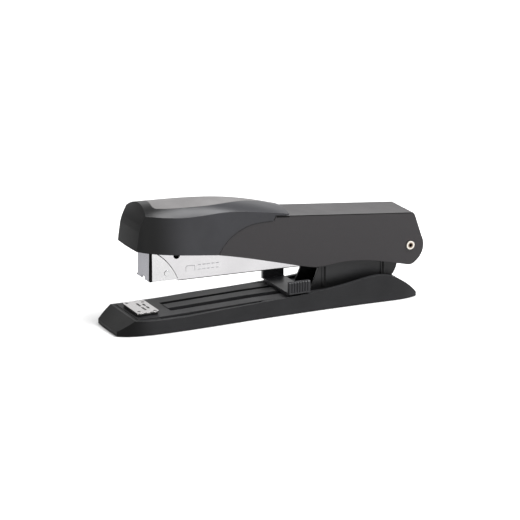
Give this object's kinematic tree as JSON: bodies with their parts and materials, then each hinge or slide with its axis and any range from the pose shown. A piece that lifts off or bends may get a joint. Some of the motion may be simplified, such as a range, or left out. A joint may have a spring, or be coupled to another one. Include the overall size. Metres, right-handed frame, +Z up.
{
  "type": "stapler",
  "caption": "Full-length desk stapler with a domed front cap, hinged handle and magazine, turning anvil and a sliding paper stop.",
  "frame": {"origin": "centre of the overall box in plan, at the underside of the base", "axes": "+Z up, X along the stapler with the stapling head towards -X and the hinge towards +X, Y across"},
  "size_m": [0.1749, 0.0364, 0.065],
  "materials": {
    "base_shell": "fine grained, satin black",
    "base_sole": "plain matt",
    "frame_bracket": "satin powder coat",
    "bracket_rivets": "bright zinc",
    "pivot_pin": "polished hollow rivet",
    "pivot_washers": "plain",
    "lift_spring": "spring wire",
    "anvil_spring": "spring wire",
    "anvil_washer": "plain",
    "anvil_block": "satin black",
    "anvil_plate": "nickel plated, bright",
    "anvil_post": "turned",
    "anvil_knob": "satin black",
    "stop_slider": "satin black",
    "stop_clip": "satin black",
    "stop_screws": "zinc plated",
    "magazine_channel": "bright nickel plate",
    "nose_guide": "bright nickel plate",
    "head_rivets": "polished",
    "staple_rail": "plain strip",
    "pusher_rod": "drawn wire",
    "rear_plug": "plain",
    "rear_bridge": "plain strip",
    "handle_spring": "spring wire",
    "pusher_spring": "spring wire",
    "pusher_block": "folded strip",
    "handle_arm": "fine satin powder coat, warm dark grey",
    "front_cap": "satin to gloss black",
    "cap_inlay": "soft-touch light grey",
    "cap_screws": "zinc plated",
    "driver_blade": "hardened strip",
    "driver_holder": "folded strip"
  },
  "bodies": {
    "base": {"base_shell": "base_shell", "base_sole": "base_sole", "frame_bracket": "frame_bracket", "bracket_rivets": "bracket_rivets", "pivot_pin": "pivot_pin", "pivot_washers": "pivot_washers", "lift_spring": "lift_spring", "anvil_spring": "anvil_spring"},
    "anvil_carrier": {"anvil_washer": "anvil_washer"},
    "anvil": {"anvil_block": "anvil_block", "anvil_plate": "anvil_plate", "anvil_post": "anvil_post", "anvil_knob": "anvil_knob"},
    "depth_stop": {"stop_slider": "stop_slider", "stop_clip": "stop_clip", "stop_screws": "stop_screws"},
    "magazine": {"magazine_channel": "magazine_channel", "nose_guide": "nose_guide", "head_rivets": "head_rivets", "staple_rail": "staple_rail", "pusher_rod": "pusher_rod", "rear_plug": "rear_plug", "rear_bridge": "rear_bridge", "handle_spring": "handle_spring", "pusher_spring": "pusher_spring"},
    "pusher": {"pusher_block": "pusher_block"},
    "handle": {"handle_arm": "handle_arm", "front_cap": "front_cap", "cap_inlay": "cap_inlay", "cap_screws": "cap_screws", "driver_blade": "driver_blade", "driver_holder": "driver_holder"}
  },
  "joints": [
    {"name": "magazine_swing", "type": "hinge", "parent": "base", "child": "magazine", "pos_m": [0.0792, 0, 0.0273], "axis": [0, 1, 0], "range_deg": [-5.7, 0], "stiffness_Nm_per_rad": 2.2, "springref_deg": 6.3, "deforming": ["lift_spring"]},
    {"name": "handle_swing", "type": "hinge", "parent": "magazine", "child": "handle", "pos_m": [0.0792, 0, 0.0273], "axis": [0, 1, 0], "range_deg": [-3.6, 85], "stiffness_Nm_per_rad": 1.2, "springref_deg": 2.58, "deforming": ["handle_spring"]},
    {"name": "pusher_slide", "type": "slide", "parent": "magazine", "child": "pusher", "axis": [0.9998, 0, -0.0192], "range_m": [0, 0.098], "stiffness_N_per_m": 20, "springref_m": -0.1, "deforming": ["pusher_spring"]},
    {"name": "stop_slide", "type": "slide", "parent": "base", "child": "depth_stop", "axis": [1, 0, 0], "range_m": [-0.04, 0.0025]},
    {"name": "anvil_lift", "type": "slide", "parent": "base", "child": "anvil_carrier", "axis": [0, 0, 1], "range_m": [0, 0.002], "stiffness_N_per_m": 300, "springref_m": -0.004, "deforming": ["anvil_spring"]},
    {"name": "anvil_turn", "type": "hinge", "parent": "anvil_carrier", "child": "anvil", "pos_m": [-0.06885, 0, 0.009], "axis": [0, 0, 1], "range_deg": [0, 180]}
  ]
}
